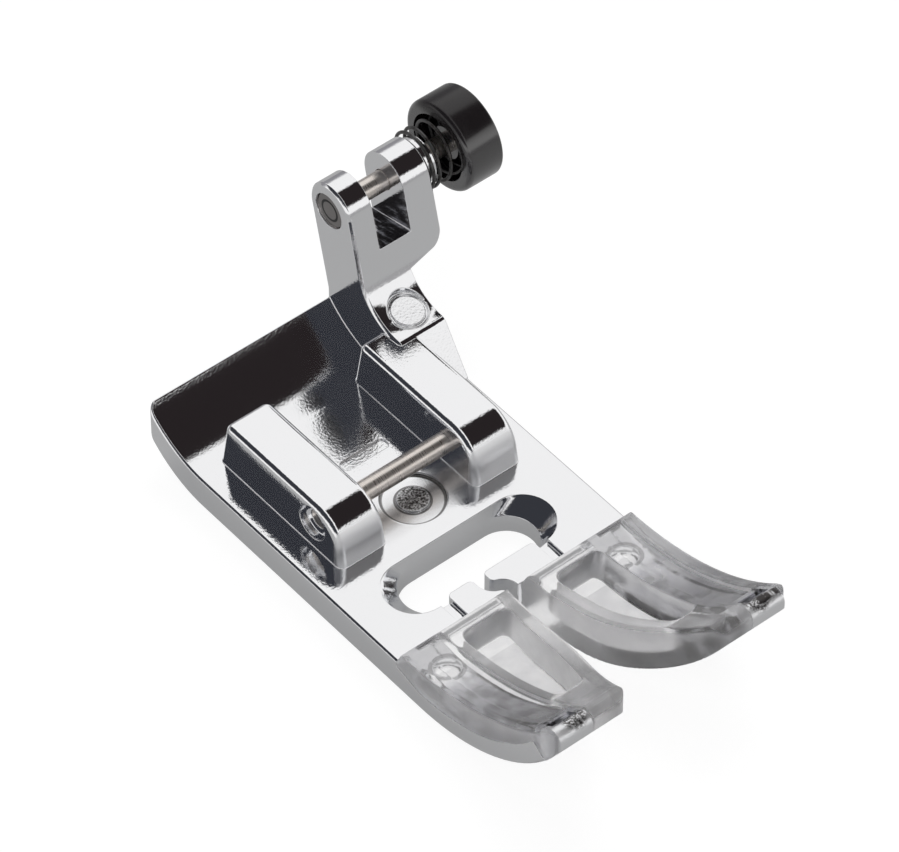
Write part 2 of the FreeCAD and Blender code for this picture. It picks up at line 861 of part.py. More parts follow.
def plunger_spring():
    """Coil spring round the plunger pin, between the outer ear and the floor of the cap."""
    margin = spring_end_gap + spring_wire_radius
    length = cavity_floor - right_ear_end - 2 * margin
    coil_radius = spring_outer_radius - spring_wire_radius
    path = Part.makeHelix(length / spring_turns, length, coil_radius)
    corners = []
    for corner in range(spring_wire_sides + 1):
        angle = FULL_TURN * corner / spring_wire_sides
        corners.append(front_point(on_circle((coil_radius, 0.0), spring_wire_radius, angle)))
    coil = path.makePipeShell([Part.makePolygon(corners)], True, True)
    coil.rotate(FreeCAD.Vector(0, 0, 0), FreeCAD.Vector(0, 1, 0), -DOWN)
    coil.translate(FreeCAD.Vector(right_ear_end + margin, plunger_y, plunger_z))
    return coil


os.makedirs("parts", exist_ok=True)
nodes = {
    "foot_body": foot_casting(),
    "toe_insert_right": toe_insert(),
    "toe_insert_left": mirrored(toe_insert()),
    "cross_pin": cross_pin(),
    "plunger_pin": plunger_pin(),
    "button_cap": button_cap(),
    "plunger_spring": plunger_spring(),
}
for name, shape in nodes.items():
    print(name, shape.isValid(), len(shape.Solids), round(shape.Volume, 2))
    shape.exportStep("parts/" + name + ".step")
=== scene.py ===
import math

import bmesh
import bpy
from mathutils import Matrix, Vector
from mathutils.bvhtree import BVHTree


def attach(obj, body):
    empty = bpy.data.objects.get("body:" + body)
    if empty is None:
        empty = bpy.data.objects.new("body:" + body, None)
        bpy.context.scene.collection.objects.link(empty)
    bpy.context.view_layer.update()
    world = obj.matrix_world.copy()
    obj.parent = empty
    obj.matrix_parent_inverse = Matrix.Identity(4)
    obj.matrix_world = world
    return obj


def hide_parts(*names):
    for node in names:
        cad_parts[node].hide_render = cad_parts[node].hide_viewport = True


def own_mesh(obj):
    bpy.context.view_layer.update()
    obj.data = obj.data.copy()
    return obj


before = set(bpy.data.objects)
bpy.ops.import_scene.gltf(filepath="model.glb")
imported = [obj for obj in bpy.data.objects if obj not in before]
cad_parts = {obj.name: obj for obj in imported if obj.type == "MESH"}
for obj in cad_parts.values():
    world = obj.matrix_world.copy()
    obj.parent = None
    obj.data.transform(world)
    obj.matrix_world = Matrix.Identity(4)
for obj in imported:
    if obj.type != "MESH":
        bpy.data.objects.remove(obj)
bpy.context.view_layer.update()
MM = 0.001


# The studio: a pale floor under a white tent, with a black card overhead on the front right, a
# blue-grey one high on the left, and grey cloth low at the back and front. They draw the dark bands
# and faces in the chrome. The camera looks down from the front left through a long lens.
class Shade:
    """A value in a node tree: Python's operators add Math nodes, and node() adds any other."""

    def __init__(self, tree, socket=None):
        self.tree = tree
        self.socket = socket

    def node(self, kind, settings=None, sockets=None, output=0):
        made = self.tree.nodes.new(kind)
        for name, value in (settings or {}).items():
            if name == "stops":
                ramp = made.color_ramp
                while len(ramp.elements) < len(value):
                    ramp.elements.new(0.5)
                for element, (place, colour) in zip(ramp.elements, value):
                    element.position = place
                    element.color = colour
            else:
                setattr(made, name, value)
        for name, value in (sockets or {}).items():
            if isinstance(value, Shade):
                self.tree.links.new(value.socket, made.inputs[name])
            else:
                made.inputs[name].default_value = value
        return Shade(self.tree, made.outputs[output])

    def math(self, operation, *values):
        return self.node("ShaderNodeMath", {"operation": operation}, dict(enumerate(values)))

    def __add__(self, other):
        return self.math("ADD", self, other)

    def __radd__(self, other):
        return self.math("ADD", other, self)

    def __sub__(self, other):
        return self.math("SUBTRACT", self, other)

    def __rsub__(self, other):
        return self.math("SUBTRACT", other, self)

    def __mul__(self, other):
        return self.math("MULTIPLY", self, other)

    def __rmul__(self, other):
        return self.math("MULTIPLY", other, self)

    def __abs__(self):
        return self.math("ABSOLUTE", self)

    def rising(self, low, high):
        """From 0 to 1 as the value climbs from low to high, smoothly."""
        return self.node(
            "ShaderNodeMapRange",
            {"interpolation_type": "SMOOTHSTEP"},
            {"Value": self, "From Min": low, "From Max": high},
        )

    def falling(self, low, high):
        """From 1 to 0 as the value climbs from low to high, smoothly."""
        return 1.0 - self.rising(low, high)

    def between(self, low, high, soft):
        """1 from low to high, fading to 0 over a soft edge inside each."""
        return self.rising(low, low + soft) * self.falling(high - soft, high)

    def blended(self, first, second):
        """First colour where the value is 0, second where it is 1."""
        return self.node(
            "ShaderNodeMix", {"data_type": "RGBA"}, {"Factor": self, 6: first, 7: second}, 2
        )

    def along(self, axis):
        """One of the three parts of a vector."""
        return self.node("ShaderNodeSeparateXYZ", None, {"Vector": self}, axis)

    def end(self, kind, socket, value):
        """Output node of the tree, fed with one value."""
        made = self.tree.nodes.new(kind)
        self.tree.links.new(value.socket, made.inputs[socket])


def grey(level):
    return (level, level, level, 1.0)


def new_material(name):
    """Empty material, and a Shade to fill it with."""
    material = bpy.data.materials.new(name)
    material.use_nodes = True
    material.node_tree.nodes.clear()
    return material, Shade(material.node_tree)


def new_object(name, mesh, materials):
    """Object at the origin for a finished mesh."""
    made = bpy.data.objects.new(name, mesh)
    bpy.context.scene.collection.objects.link(made)
    mesh.materials.clear()
    for material in materials:
        mesh.materials.append(material)
    return made


CAMERA_PLACE = Vector((-241.329, -298.048, 428.696)) * MM
CAMERA_TURN = math.radians(39.62)
CAMERA_DROP = math.radians(47.4)
LENS = 260.3

camera_data = bpy.data.cameras.new("camera")
camera_data.lens = LENS
camera_data.sensor_width = 36.0
camera_data.clip_start = 0.01
camera = bpy.data.objects.new("camera", camera_data)
aim = Vector((
    math.sin(CAMERA_TURN) * math.cos(CAMERA_DROP),
    math.cos(CAMERA_TURN) * math.cos(CAMERA_DROP),
    -math.sin(CAMERA_DROP),
))
camera.location = CAMERA_PLACE
camera.rotation_euler = aim.to_track_quat("-Z", "Y").to_euler()
bpy.context.scene.collection.objects.link(camera)
bpy.context.scene.camera = camera
bpy.context.scene.view_settings.view_transform = "Standard"

TENT_WHITE = (0.925, 0.92, 0.915, 1.0)
TENT_BLACK = (0.02, 0.016, 0.017, 1.0)
TENT_BLUE = (0.036, 0.038, 0.046, 1.0)
BACK_GREY = (0.27, 0.265, 0.28, 1.0)
FRONT_GREY = (0.36, 0.355, 0.36, 1.0)
GLASS_SHARE = 0.8
GLASS_LEVEL = 0.8
CARD_FADE = 0.1
BLACK_EAST = (0.12, 0.85)
BLACK_NORTH = (0.1, 0.2)
BLACK_HEIGHT = (0.47, 0.55)
BLUE_EAST = (-0.95, -0.08)
BLUE_HEIGHT = (0.25, 0.4)
BACK_NORTH = (0.72, 0.88)
BACK_HEIGHT = (0.3, 0.5)
FRONT_NORTH = (-0.83, -0.75)
FRONT_HEIGHT = (0.07, 0.17)

world = bpy.data.worlds.new("tent")
world.use_nodes = True
world.node_tree.nodes.clear()
tent = Shade(world.node_tree)
way = tent.node("ShaderNodeTexCoord")
way = tent.node("ShaderNodeVectorMath", {"operation": "NORMALIZE"}, {0: way})
east, north, height = way.along(0), way.along(1), way.along(2)
black_card = east.between(*BLACK_EAST, CARD_FADE) * height.rising(*BLACK_HEIGHT)
black_card = black_card * north.falling(*BLACK_NORTH)
blue_card = east.between(*BLUE_EAST, CARD_FADE) * height.rising(*BLUE_HEIGHT)
low_back = north.rising(*BACK_NORTH) * height.falling(*BACK_HEIGHT)
low_front = north.falling(*FRONT_NORTH) * height.falling(*FRONT_HEIGHT)
colour = black_card.blended(TENT_WHITE, TENT_BLACK)
colour = blue_card.blended(colour, TENT_BLUE)
colour = low_back.blended(colour, BACK_GREY)
colour = low_front.blended(colour, FRONT_GREY)
camera_ray = tent.node("ShaderNodeLightPath")
glass_ray = Shade(world.node_tree, camera_ray.socket.node.outputs["Is Transmission Ray"])
light = tent.node("ShaderNodeBackground", None, {"Color": colour, "Strength": 1.0})
plain = tent.node("ShaderNodeBackground", None, {"Color": grey(1.0), "Strength": 1.0})
pale = tent.node("ShaderNodeBackground", None, {"Color": grey(GLASS_LEVEL), "Strength": 1.0})
sky = tent.node("ShaderNodeMixShader", None, {0: glass_ray * GLASS_SHARE, 1: light, 2: pale})
sky = tent.node("ShaderNodeMixShader", None, {0: camera_ray, 1: sky, 2: plain})
tent.end("ShaderNodeOutputWorld", "Surface", sky)
bpy.context.scene.world = world

LAMP_SIZE = 400 * MM
LAMP_POWER = 0.9
for lamp_name, place in (
    ("lamp_left", Vector((-350, -150, 450)) * MM),
    ("lamp_right", Vector((300, 200, 450)) * MM),
):
    lamp_data = bpy.data.lights.new(lamp_name, "AREA")
    lamp_data.shape = "DISK"
    lamp_data.size = LAMP_SIZE
    lamp_data.energy = LAMP_POWER
    lamp = bpy.data.objects.new(lamp_name, lamp_data)
    lamp.location = place
    lamp.rotation_euler = (-place).to_track_quat("-Z", "Y").to_euler()
    lamp.visible_glossy = False
    lamp.visible_transmission = False
    bpy.context.scene.collection.objects.link(lamp)

FLOOR_HALF = 600 * MM
FLOOR_LEVEL = 0.8
FLOOR_CAMERA_GLOW = 1.12
FLOOR_CAMERA_SHARE = 0.8
FLOOR_GLOSS_GLOW = 0.31
FLOOR_GLOSS_SHARE = 0.7
FLOOR_GLASS_GLOW = 0.85

paper, sheet = new_material("floor_paper")
ray = sheet.node("ShaderNodeLightPath")
glossy = Shade(sheet.tree, ray.socket.node.outputs["Is Glossy Ray"])
through = Shade(sheet.tree, ray.socket.node.outputs["Is Transmission Ray"])
lit = sheet.node("ShaderNodeBsdfDiffuse", None, {"Color": grey(FLOOR_LEVEL)})
seen = sheet.node("ShaderNodeEmission", None, {"Color": grey(1.0), "Strength": FLOOR_CAMERA_GLOW})
mirrored = sheet.node("ShaderNodeEmission", None, {"Color": grey(1.0), "Strength": FLOOR_GLOSS_GLOW})
behind = sheet.node("ShaderNodeEmission", None, {"Color": grey(1.0), "Strength": FLOOR_GLASS_GLOW})
surface = sheet.node("ShaderNodeMixShader", None, {0: ray * FLOOR_CAMERA_SHARE, 1: lit, 2: seen})
surface = sheet.node(
    "ShaderNodeMixShader", None, {0: glossy * FLOOR_GLOSS_SHARE, 1: surface, 2: mirrored}
)
surface = sheet.node("ShaderNodeMixShader", None, {0: through, 1: surface, 2: behind})
sheet.end("ShaderNodeOutputMaterial", "Surface", surface)

floor_mesh = bpy.data.meshes.new("floor")
corners = [(-1, -1, 0), (1, -1, 0), (1, 1, 0), (-1, 1, 0)]
floor_mesh.from_pydata([Vector(corner) * FLOOR_HALF for corner in corners], [], [(0, 1, 2, 3)])
floor = new_object("floor", floor_mesh, [paper])


# The foot: one zinc casting, polished and chromed all over, with the plate, both fingers, the two
# walls and the arm. The chrome mirrors the tent, and its slight orange peel makes the edges of
# the dark bands grainy.
CHROME_COLOUR = (0.93, 0.935, 0.95, 1.0)
COVERED_COLOUR = (0.78, 0.78, 0.82, 1.0)
DARK_MARK_AND_SHADE_COLOUR = (0.07, 0.065, 0.065, 1.0)
CHROME_ROUGHNESS = 0.06
COVERED_ROUGHNESS = 0.2
PIN_SHADE_ROUGHNESS = 0.17
NOSE_ROUGHNESS = 0.35
CAST_ROUGHNESS = 0.1
PEEL_SCALE = 4200.0
WAVE_SCALE = 260.0
PIT_SCALE = 5200.0
PATCH_SCALE = 520.0
SMEAR_SCALE = 90.0
STREAK_SCALE = (2200.0, 350.0, 900.0)
RELIEF_DEPTH = 0.005 * MM
THIN_LINE = 0.08 * MM
SOFT_LINE = 0.1 * MM
TAB_DIMPLE = Vector((10.2, -34.95, 0)) * MM
DIMPLE_RADIUS = (0.9 * MM, 1.4 * MM)
DIMPLE_LEVEL = (0.3, 0.6)
LOCK_HOLE = Vector((10.05, -18.6, 0)) * MM
LOCK_RING = (1.28 * MM, 1.75 * MM)
DISH_MIDDLE = Vector((0, -1.5, 0)) * MM
BOSS_RADIUS = (1.3 * MM, 1.6 * MM)
BOSS_RING = (1.5 * MM, 1.8 * MM)
DISH_RING = (2.7 * MM, 3.1 * MM)
DISH_RADIUS = (2.9 * MM, 3.2 * MM)
COVERED_AHEAD = (-21.6 * MM, -20.0 * MM)
COVERED_ASIDE = (12.9 * MM, 13.0 * MM)
TAB_AHEAD = (-34.0 * MM, -33.9 * MM)
INNER_RIM = (8.6 * MM, 8.9 * MM)
OUTER_RIM = (11.4 * MM, 11.9 * MM)
RIM_FADE = 0.15 * MM
NOSE_START = (-3.3 * MM, -2.8 * MM)
NOSE_END = (-6.0 * MM, -5.0 * MM)
ABOVE_PLATE = (3.52 * MM, 3.6 * MM)
ON_PLATE = (3.55 * MM, 3.6 * MM)
UNDER_PIN_ASIDE = (5.1 * MM, 5.4 * MM)
UNDER_PIN_AHEAD = (-5.0 * MM, 1.0 * MM)
UNDER_PIN_FADE = 1.0 * MM
FORK_SLOT = (10.25 * MM, 14.05 * MM)
FORK_FLOOR = (12.0 * MM, 16.0 * MM)
FLOOR_LEVELNESS = (0.88, 0.94)
JOIN_REACH = 0.0001 * MM
FLAT_TURN = math.radians(0.5)
EASED_EDGE = 0.07 * MM
EASED_TURN = math.radians(24)
SOFT_EDGE = math.radians(50)

chrome, metal = new_material("chrome")
spot = metal.node("ShaderNodeTexCoord", None, None, 3)
side_x, ahead, up = spot.along(0), spot.along(1), spot.along(2)
aside = abs(side_x)
level = metal.node("ShaderNodeTexCoord", None, None, 1).along(2)


def away_from(across_x, middle):
    """Distance in plan from a point of the foot. With aside it folds both halves onto one."""
    gap_x, gap_y = across_x - middle.x, ahead - middle.y
    square = gap_x * gap_x + gap_y * gap_y
    return square.math("SQRT", square)


def speckle(scale, detail):
    """Noise over the chrome, its scale in cells for each metre."""
    sockets = {"Vector": spot, "Scale": scale, "Detail": detail}
    return metal.node("ShaderNodeTexNoise", None, sockets)


peel = speckle(PEEL_SCALE, 2.0)
wave = speckle(WAVE_SCALE, 1.0)
pits = speckle(PIT_SCALE, 3.0)
patches = speckle(PATCH_SCALE, 5.0)
smear = speckle(SMEAR_SCALE, 4.0)
streaks = metal.node("ShaderNodeMapping", None, {"Vector": spot, "Scale": STREAK_SCALE})
streaks = metal.node("ShaderNodeTexNoise", None, {"Vector": streaks, "Scale": 1.0, "Detail": 3.0})

# Under the clear toes, and the bare tabs at their tips.
tab = ahead.falling(*TAB_AHEAD)
covered = ahead.falling(*COVERED_AHEAD) * aside.falling(*COVERED_ASIDE)
# Painted shade: dark lines along both edges of each finger where it shows through its toe, broken into
# patches.
finger_edge_shade = aside.falling(*INNER_RIM) + aside.between(*OUTER_RIM, RIM_FADE)
finger_edge_shade = covered * finger_edge_shade * patches.rising(0.3, 0.5)
# Painted shade: a dark ring round the edge of the lock hole.
lock_shade_ring = away_from(aside, LOCK_HOLE).between(*LOCK_RING, THIN_LINE)
dimple = away_from(aside, TAB_DIMPLE).falling(*DIMPLE_RADIUS) * level.rising(*DIMPLE_LEVEL)

# In front of the pin: the dish with its boss, and the plate that mirrors the pin.
from_dish = away_from(side_x, DISH_MIDDLE)
boss = from_dish.falling(*BOSS_RADIUS)
in_dish = from_dish.falling(*DISH_RADIUS)
# Painted shade: dark lines round the edge of the boss and of the dish.
dish_shade_lines = from_dish.between(*BOSS_RING, THIN_LINE) + from_dish.between(*DISH_RING, SOFT_LINE)
under_pin = aside.falling(*UNDER_PIN_ASIDE) * ahead.between(*UNDER_PIN_AHEAD, UNDER_PIN_FADE)
under_pin = under_pin * up.falling(*ON_PLATE)

# The dull noses of the walls, and the floor of the fork's slot.
nose = ahead.falling(*NOSE_START) * ahead.rising(*NOSE_END) * up.rising(*ABOVE_PLATE)
slot_floor = level.rising(*FLOOR_LEVELNESS) * up.between(*FORK_FLOOR, SOFT_LINE)
slot_floor = slot_floor * side_x.between(*FORK_SLOT, SOFT_LINE)

# Dark marks in the chrome's colour: pits on the boss and the tab's dimple, streaks on the floor of the
# fork's slot, and painted shade at the dish's rings, the lock hole's edge and the fingers under the
# toes.
dark_marks_and_shade = (boss + dimple * tab) * pits.rising(0.3, 0.62) + dish_shade_lines * 0.8
dark_marks_and_shade = dark_marks_and_shade + slot_floor * streaks.falling(0.5, 0.75) + lock_shade_ring * 0.5
# Painted reflection and shade over the fingers under the toes: mottled dark patches, and the dark edge
# lines.
dark_marks_and_shade = dark_marks_and_shade + covered * (1.0 - tab) * (patches.rising(0.4, 0.75) * 0.6 + finger_edge_shade)
dull = covered * (1.0 - tab) * streaks.rising(0.2, 0.65)
colour = dull.blended(CHROME_COLOUR, COVERED_COLOUR)
colour = dark_marks_and_shade.blended(colour, DARK_MARK_AND_SHADE_COLOUR)
rough = covered * COVERED_ROUGHNESS + under_pin * PIN_SHADE_ROUGHNESS + nose * NOSE_ROUGHNESS
rough = rough + (boss + tab) * CAST_ROUGHNESS + smear.rising(0.35, 0.75) * 0.04
relief = peel * (1.5 + (boss + tab) * 5.0) + wave * (0.8 + in_dish * 14.0)
bump = metal.node(
    "ShaderNodeBump", None, {"Height": relief, "Strength": 1.0, "Distance": RELIEF_DEPTH}
)
finish = metal.node(
    "ShaderNodeBsdfPrincipled",
    None,
    {
        "Base Color": colour,
        "Metallic": 1.0,
        "Roughness": rough + CHROME_ROUGHNESS,
        "Normal": bump,
    },
)
metal.end("ShaderNodeOutputMaterial", "Surface", finish)


def joined_copy(node):
    """Mesh of a CAD node with its loose triangles joined at their corners."""
    shell = bmesh.new()
    shell.from_mesh(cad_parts[node].data)
    bmesh.ops.remove_doubles(shell, verts=shell.verts, dist=JOIN_REACH)
    return shell


def eased(shell, size, least_turn):
    """Rounds the edges of a bmesh that turn by more than an angle, and keeps to its surface."""
    surface = BVHTree.FromBMesh(shell)
    bmesh.ops.dissolve_limit(
        shell, angle_limit=FLAT_TURN, verts=shell.verts, edges=shell.edges
    )
    sharp = [
        edge
        for edge in shell.edges
        if len(edge.link_faces) == 2 and edge.calc_face_angle() > least_turn
    ]
    bmesh.ops.bevel(
        shell,
        geom=sharp,
        offset=size,
        offset_type="OFFSET",
        segments=3,
        profile=0.5,
        affect="EDGES",
        clamp_overlap=False,
    )
    for vert in shell.verts:
        touch, _, _, gap = surface.find_nearest(vert.co)
        if gap > size:
            vert.co = touch


def weighted(name, shell, materials):
    """Object from a bmesh, smooth between its sharp edges, flat faces kept flat."""
    for face in shell.faces:
        face.smooth = True
    for edge in shell.edges:
        edge.smooth = len(edge.link_faces) == 2 and edge.calc_face_angle() < SOFT_EDGE
    mesh = bpy.data.meshes.new(name)
    shell.to_mesh(mesh)
    shell.free()
    made = new_object(name, mesh, materials)
    settle = made.modifiers.new("settle", "WEIGHTED_NORMAL")
    settle.mode = "FACE_AREA"
    settle.weight = 100
    settle.keep_sharp = True
    depsgraph = bpy.context.evaluated_depsgraph_get()
    done = bpy.data.meshes.new_from_object(made.evaluated_get(depsgraph))
    made.modifiers.clear()
    made.data = done
    done.name = name
    return made


shell = joined_copy("foot_body")
eased(shell, EASED_EDGE, EASED_TURN)
casting = weighted("foot_casting", shell, [chrome])
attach(casting, "foot")
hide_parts("foot_body")


# The cross pin: a nickel-plated steel pin pressed through both walls, a little warmer than the
# chrome, with faint rings from turning. The plunger's steel is the same, with painted shade on the
# face of its head: dark grey, with a darker ring round the middle.
PIN_MIDDLE = Vector((0, 0, 6.23)) * MM
PIN_HALF = 9.4
PIN_RADIUS = 1.0
PIN_END_ROUND = 0.2
PIN_SIDES = 96
NICKEL_COLOUR = (0.82, 0.765, 0.715, 1.0)
HEAD_SHADE_COLOUR = (0.28, 0.265, 0.26, 1.0)
STUB_SHADE_GREY = 0.03
TURNING_SCALE = (9000.0, 300.0, 300.0)
TURNING_DEPTH = 0.02 * MM
TURNED_EDGE = math.radians(32)
PLUNGER_LINE = Vector((0, 19.65, 17.9)) * MM
HEAD_FACE = (7.95 * MM, 8.05 * MM)
HEAD_HEIGHT = (12.0 * MM, 13.0 * MM)
STUB_RING = (0.85 * MM, 1.2 * MM)

nickel, plated = new_material("nickel_steel")
spot = plated.node("ShaderNodeTexCoord", None, None, 3)
rings = plated.node("ShaderNodeMapping", None, {"Vector": spot, "Scale": TURNING_SCALE})
rings = plated.node("ShaderNodeTexNoise", None, {"Vector": rings, "Scale": 1.0, "Detail": 3.0})
bump = plated.node(
    "ShaderNodeBump", None, {"Height": rings, "Strength": 0.2, "Distance": TURNING_DEPTH}
)
# Painted shade on the face of the plunger's head, which sits in the left ear's counterbore: dark grey,
# with a darker ring round the stub in its middle.
head_face_shade = spot.along(0).falling(*HEAD_FACE) * spot.along(2).rising(*HEAD_HEIGHT)
over, beside = spot.along(2) - PLUNGER_LINE.z, spot.along(1) - PLUNGER_LINE.y
square = over * over + beside * beside
stub_shade_ring = square.math("SQRT", square).between(*STUB_RING, SOFT_LINE)
shaded_head_face = stub_shade_ring.blended(HEAD_SHADE_COLOUR, grey(STUB_SHADE_GREY))
finish = plated.node(
    "ShaderNodeBsdfPrincipled",
    None,
    {
        "Base Color": head_face_shade.blended(NICKEL_COLOUR, shaded_head_face),
        "Metallic": 1.0,
        "Roughness": rings.rising(0.3, 0.8) * 0.12 + 0.26,
        "Normal": bump,
    },
)
plated.end("ShaderNodeOutputMaterial", "Surface", finish)


def arc(centre, radius, start, end, steps=8):
    """Points (x, r) along an arc of a turned profile, with angles in degrees."""
    points = []
    for step in range(steps + 1):
        turn = math.radians(start + (end - start) * step / steps)
        points.append((centre[0] + radius * math.cos(turn), centre[1] + radius * math.sin(turn)))
    return points


def turned(name, middle, profile, sides, material):
    """Closed piece turned about an axis along X, from a profile of (x, r) points in mm."""
    shell = bmesh.new()
    rows = []
    for x, r in profile:
        if r < 1e-9:
            rows.append([shell.verts.new(middle + Vector((x, 0, 0)) * MM)])
            continue
        row = []
        for side in range(sides):
            turn = 2 * math.pi * side / sides
            offset = Vector((x, r * math.cos(turn), r * math.sin(turn))) * MM
            row.append(shell.verts.new(middle + offset))
        rows.append(row)
    for row, following in zip(rows, rows[1:]):
        for side in range(sides):
            after = (side + 1) % sides
            ring = [row[side % len(row)], row[after % len(row)]]
            ring += [following[after % len(following)], following[side % len(following)]]
            corners = list(dict.fromkeys(ring))
            if len(corners) > 2:
                shell.faces.new(corners)
    bmesh.ops.recalc_face_normals(shell, faces=shell.faces)
    for face in shell.faces:
        face.smooth = True
    for edge in shell.edges:
        edge.smooth = edge.calc_face_angle() < TURNED_EDGE
    mesh = bpy.data.meshes.new(name)
    shell.to_mesh(mesh)
    shell.free()
    return new_object(name, mesh, [material])


pin_profile = [(-PIN_HALF, 0.0)]
pin_profile += arc((PIN_END_ROUND - PIN_HALF, PIN_RADIUS - PIN_END_ROUND), PIN_END_ROUND, 180, 90)
pin_profile += arc((PIN_HALF - PIN_END_ROUND, PIN_RADIUS - PIN_END_ROUND), PIN_END_ROUND, 90, 0)
pin_profile += [(PIN_HALF, 0.0)]
seat_pin = turned("seat_pin", PIN_MIDDLE, pin_profile, PIN_SIDES, nickel)
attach(seat_pin, "foot")
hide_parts("cross_pin")


# The toes: clear acrylic moulded round the fingers, so that the cloth shows through. Each is a
# slightly grey solid with faint flow lines, and it is bonded to the metal that it covers.
PLASTIC_COLOUR = (0.99, 0.985, 0.99, 1.0)
SMOKE_COLOUR = (0.87, 0.865, 0.88, 1.0)
PLASTIC_ROUGHNESS = 0.14
SIDE_HAZE = 0.25
PLASTIC_CLARITY = 0.86
PLASTIC_IOR = 1.49
SIDE_LEVEL = (0.3, 0.8)
FLOW_SCALE = (700.0, 160.0, 160.0)
CLOUD_SCALE = 520.0
FLOW_DEPTH = 0.06 * MM
BOND = 0.03 * MM
BOND_REACH = 0.14 * MM
MOULD_STEP = 0.11 * MM
MOULD_MELT = 3

acrylic, clear = new_material("clear_plastic")
spot = clear.node("ShaderNodeTexCoord", None, None, 3)
flow = clear.node("ShaderNodeMapping", None, {"Vector": spot, "Scale": FLOW_SCALE})
flow = clear.node("ShaderNodeTexNoise", None, {"Vector": flow, "Scale": 1.0, "Detail": 3.0})
clouds = clear.node(
    "ShaderNodeTexNoise", None, {"Vector": spot, "Scale": CLOUD_SCALE, "Detail": 4.0}
)
bump = clear.node(
    "ShaderNodeBump", None, {"Height": flow + clouds, "Strength": 0.4, "Distance": FLOW_DEPTH}
)
upright = abs(clear.node("ShaderNodeTexCoord", None, None, 1).along(2)).falling(*SIDE_LEVEL)
finish = clear.node(
    "ShaderNodeBsdfPrincipled",
    None,
    {
        "Base Color": clouds.rising(0.35, 0.62).blended(SMOKE_COLOUR, PLASTIC_COLOUR),
        "Roughness": upright * SIDE_HAZE + PLASTIC_ROUGHNESS,
        "IOR": PLASTIC_IOR,
        "Transmission Weight": PLASTIC_CLARITY,
        "Normal": bump,
    },
)
clear.end("ShaderNodeOutputMaterial", "Surface", finish)

metal_shell = bmesh.new()
metal_shell.from_mesh(casting.data)
metal_surface = BVHTree.FromBMesh(metal_shell)
metal_shell.free()
for side in ("left", "right"):
    shell = joined_copy("toe_insert_" + side)
    mesh = bpy.data.meshes.new("clear_toe_" + side)
    shell.to_mesh(mesh)
    shell.free()
    toe = new_object("clear_toe_" + side, mesh, [acrylic])
    mould = toe.modifiers.new("mould", "REMESH")
    mould.mode = "VOXEL"
    mould.voxel_size = MOULD_STEP
    mould.use_smooth_shade = True
    melt = toe.modifiers.new("melt", "SMOOTH")
    melt.factor = 0.5
    melt.iterations = MOULD_MELT
    depsgraph = bpy.context.evaluated_depsgraph_get()
    done = bpy.data.meshes.new_from_object(toe.evaluated_get(depsgraph))
    toe.modifiers.clear()
    toe.data = done
    done.name = "clear_toe_" + side
    for vert in done.vertices:
        touch, slant, _, gap = metal_surface.find_nearest(vert.co)
        if gap < BOND_REACH:
            vert.co = touch - slant * BOND
    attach(toe, "foot")
    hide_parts("toe_insert_" + side)


# The plunger: a headed nickel-plated pin that slides through both ears of the fork. Its head
# stops against the left ear.
HEAD_START = 7.9
HEAD_END = 9.2
HEAD_RADIUS = 1.75
HEAD_ROUND = 0.2
SHAFT_RADIUS = 1.0
SHAFT_END = 23.4

plunger_profile = [(HEAD_START, 0.0)]
plunger_profile += arc((HEAD_START + HEAD_ROUND, HEAD_RADIUS - HEAD_ROUND), HEAD_ROUND, 180, 90)
plunger_profile += [(HEAD_END, HEAD_RADIUS), (HEAD_END, SHAFT_RADIUS)]
plunger_profile += [(SHAFT_END, SHAFT_RADIUS), (SHAFT_END, 0.0)]
plunger = turned("headed_plunger", PLUNGER_LINE, plunger_profile, PIN_SIDES, nickel)
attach(plunger, "plunger")
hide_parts("plunger_pin")


# The return spring: dark steel wire, coiled with both ends closed, between the outer ear and the
# floor of the cap.
SPRING_START = 17.15
SPRING_END = 23.4
SPRING_WIRE = 0.17
SPRING_COIL = 2.85
SPRING_TURNS = 6.0
SPRING_STEPS = 48
WIRE_SIDES = 14
WIRE_ROOM = 1.02
CLOSED_ENDS = (0.12, 0.88)
CLOSED_SHARE = 0.55
WIRE_COLOUR = (0.07, 0.065, 0.062, 1.0)

spring_steel, dark = new_material("spring_steel")
spot = dark.node("ShaderNodeTexCoord", None, None, 3)
scale_marks = dark.node("ShaderNodeTexNoise", None, {"Vector": spot, "Scale": 1500.0, "Detail": 3.0})
finish = dark.node(
    "ShaderNodeBsdfPrincipled",
    None,
    {
        "Base Color": scale_marks.rising(0.3, 0.7).blended(WIRE_COLOUR, grey(0.16)),
        "Metallic": 1.0,
        "Roughness": scale_marks.rising(0.2, 0.8) * 0.2 + 0.22,
    },
)
dark.end("ShaderNodeOutputMaterial", "Surface", finish)

